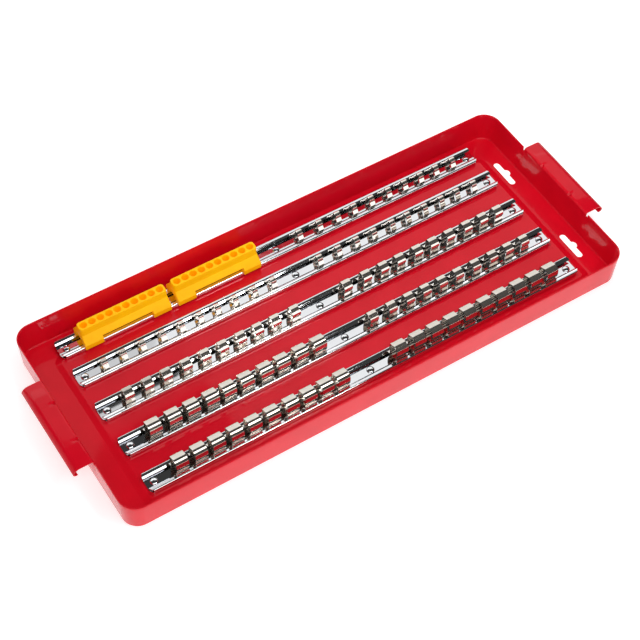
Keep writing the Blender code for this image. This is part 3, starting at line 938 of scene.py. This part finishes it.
def makeHolders():
    look = holderLook
    body = makeHolderBody()
    overrun = look["overrun"]
    long = look["length"] + 2 * overrun
    short = look["length"] - 2 * look["footLength"]
    for outline, length in ((look["underCut"], long), (look["recess"], short)):
        for side in (1, -1):
            mirrored = [(side * across, up) for across, up in outline]
            body = combineMeshes(body, drawnOutline("cut", mirrored, length, upright=True))
    body = combineMeshes(body, drawnOutline("cavity", look["cavity"], long,
                                            upright=True))
    holes = bmesh.new()
    top, radius, mouth = look["top"], look["holeRadius"], look["holeMouth"]
    bottom = top - look["holeDepth"]
    profile = ((0, top + overrun), (radius + mouth + overrun, top + overrun),
               (radius, top - mouth), (radius - look["holeTaper"], bottom), (0, bottom))
    for index in range(look["holes"]):
        along = (index - (look["holes"] - 1) / 2) * look["holePitch"]
        turnedShape(holes, profile, (along, 0), look["holeSides"])
    body = combineMeshes(body, asMesh("holes", holes))
    for side in ("left", "right"):
        name = f"bit_holder_{side}"
        low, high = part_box(name)
        addPiece(f"holder{side.title()}", body, name, finishes["yellow"],
                 (name,), ((low.x + high.x) / 2, shared["rows"][0], 0))


makeHolders()
print("bit holders made")


# ---- studio

studioLook = {
    "floorHalf": 6,
    "floorTone": (0.75, 0.75, 0.75, 1),
    "floorRoughness": 0.6,
    "floorGlow": 0.62,
    "roomTone": (1.0, 1.0, 1.0, 1),
    "roomStrength": 0.045,
    "cards": (  # name, middle, size across and deep, brightness, point it faces, mirrored
        ("frontKey", (-0.50, -0.96, 1.60), (2.20, 0.96), 2.4, (-0.50, -0.96, 0), True),
        ("backCard", (1.20, 1.13, 1.60), (1.76, 0.90), 1.0, (1.20, 1.13, 0), True),
        ("backLeftCard", (-0.24, 1.42, 1.60), (1.12, 0.96), 0.7, (-0.24, 1.42, 0), True),
        ("backdrop", (0.50, 2.60, 1.45), (5.00, 2.90), 0.9, (0.50, 0, 1.45), True),
        ("frontDrop", (0.30, -2.80, 0.75), (5.00, 1.50), 1.5, (0.30, 0, 0.75), True),
        ("leftDrop", (-2.60, 0.30, 0.75), (5.00, 1.50), 0.6, (0, 0.30, 0.75), True),
        ("stripLight", (0.49, -1.00, 1.58), (0.26, 0.26), 12.0, (0.49, -1.00, 0), True),
        ("softFill", (0.08, 0.02, 0.50), (0.30, 0.30), 3.6, (0.08, 0.02, 0), False),
    ),
}


def makeStudio():
    look = studioLook
    floorMesh = bpy.data.meshes.new("floor")
    far = look["floorHalf"]
    floorMesh.from_pydata([(-far, -far, 0), (far, -far, 0), (far, far, 0), (-far, far, 0)],
                          [], [(0, 1, 2, 3)])
    floor = bpy.data.objects.new("floor", floorMesh)
    finish = newFinish("studio floor", Base_Color=look["floorTone"],
                       Roughness=look["floorRoughness"], Emission_Color=look["roomTone"],
                       Emission_Strength=look["floorGlow"])
    floorMesh.materials.append(finish[0])
    bpy.context.scene.collection.objects.link(floor)
    world = bpy.data.worlds.new("studio")
    world.use_nodes = True
    background = world.node_tree.nodes["Background"]
    background.inputs["Color"].default_value = look["roomTone"]
    background.inputs["Strength"].default_value = look["roomStrength"]
    bpy.context.scene.world = world
    for name, middle, size, brightness, target, mirrored in look["cards"]:
        light = bpy.data.lights.new(name, "AREA")
        light.shape = "RECTANGLE"
        light.size, light.size_y = size
        light.energy = brightness * math.pi * size[0] * size[1]  # the same glow at any size
        item = bpy.data.objects.new(name, light)
        item.location = middle
        aim = Vector(target) - Vector(middle)
        item.rotation_euler = aim.to_track_quat("-Z", "Y").to_euler()
        item.visible_glossy = mirrored
        bpy.context.scene.collection.objects.link(item)


cameraLook = {"place": (-0.5064, -0.7385, 1.2000), "turn": (0.637512, -0.022489, -0.565926),
              "lens": 90.87, "sensor": 36}


def makeCamera():
    look = cameraLook
    lens = bpy.data.cameras.new("camera")
    lens.lens = look["lens"]
    lens.sensor_width = look["sensor"]
    camera = bpy.data.objects.new("camera", lens)
    camera.location = look["place"]
    camera.rotation_euler = look["turn"]
    bpy.context.scene.collection.objects.link(camera)
    bpy.context.scene.camera = camera
    bpy.context.scene.view_settings.view_transform = "Standard"


makeStudio()
makeCamera()
print("scene ready")
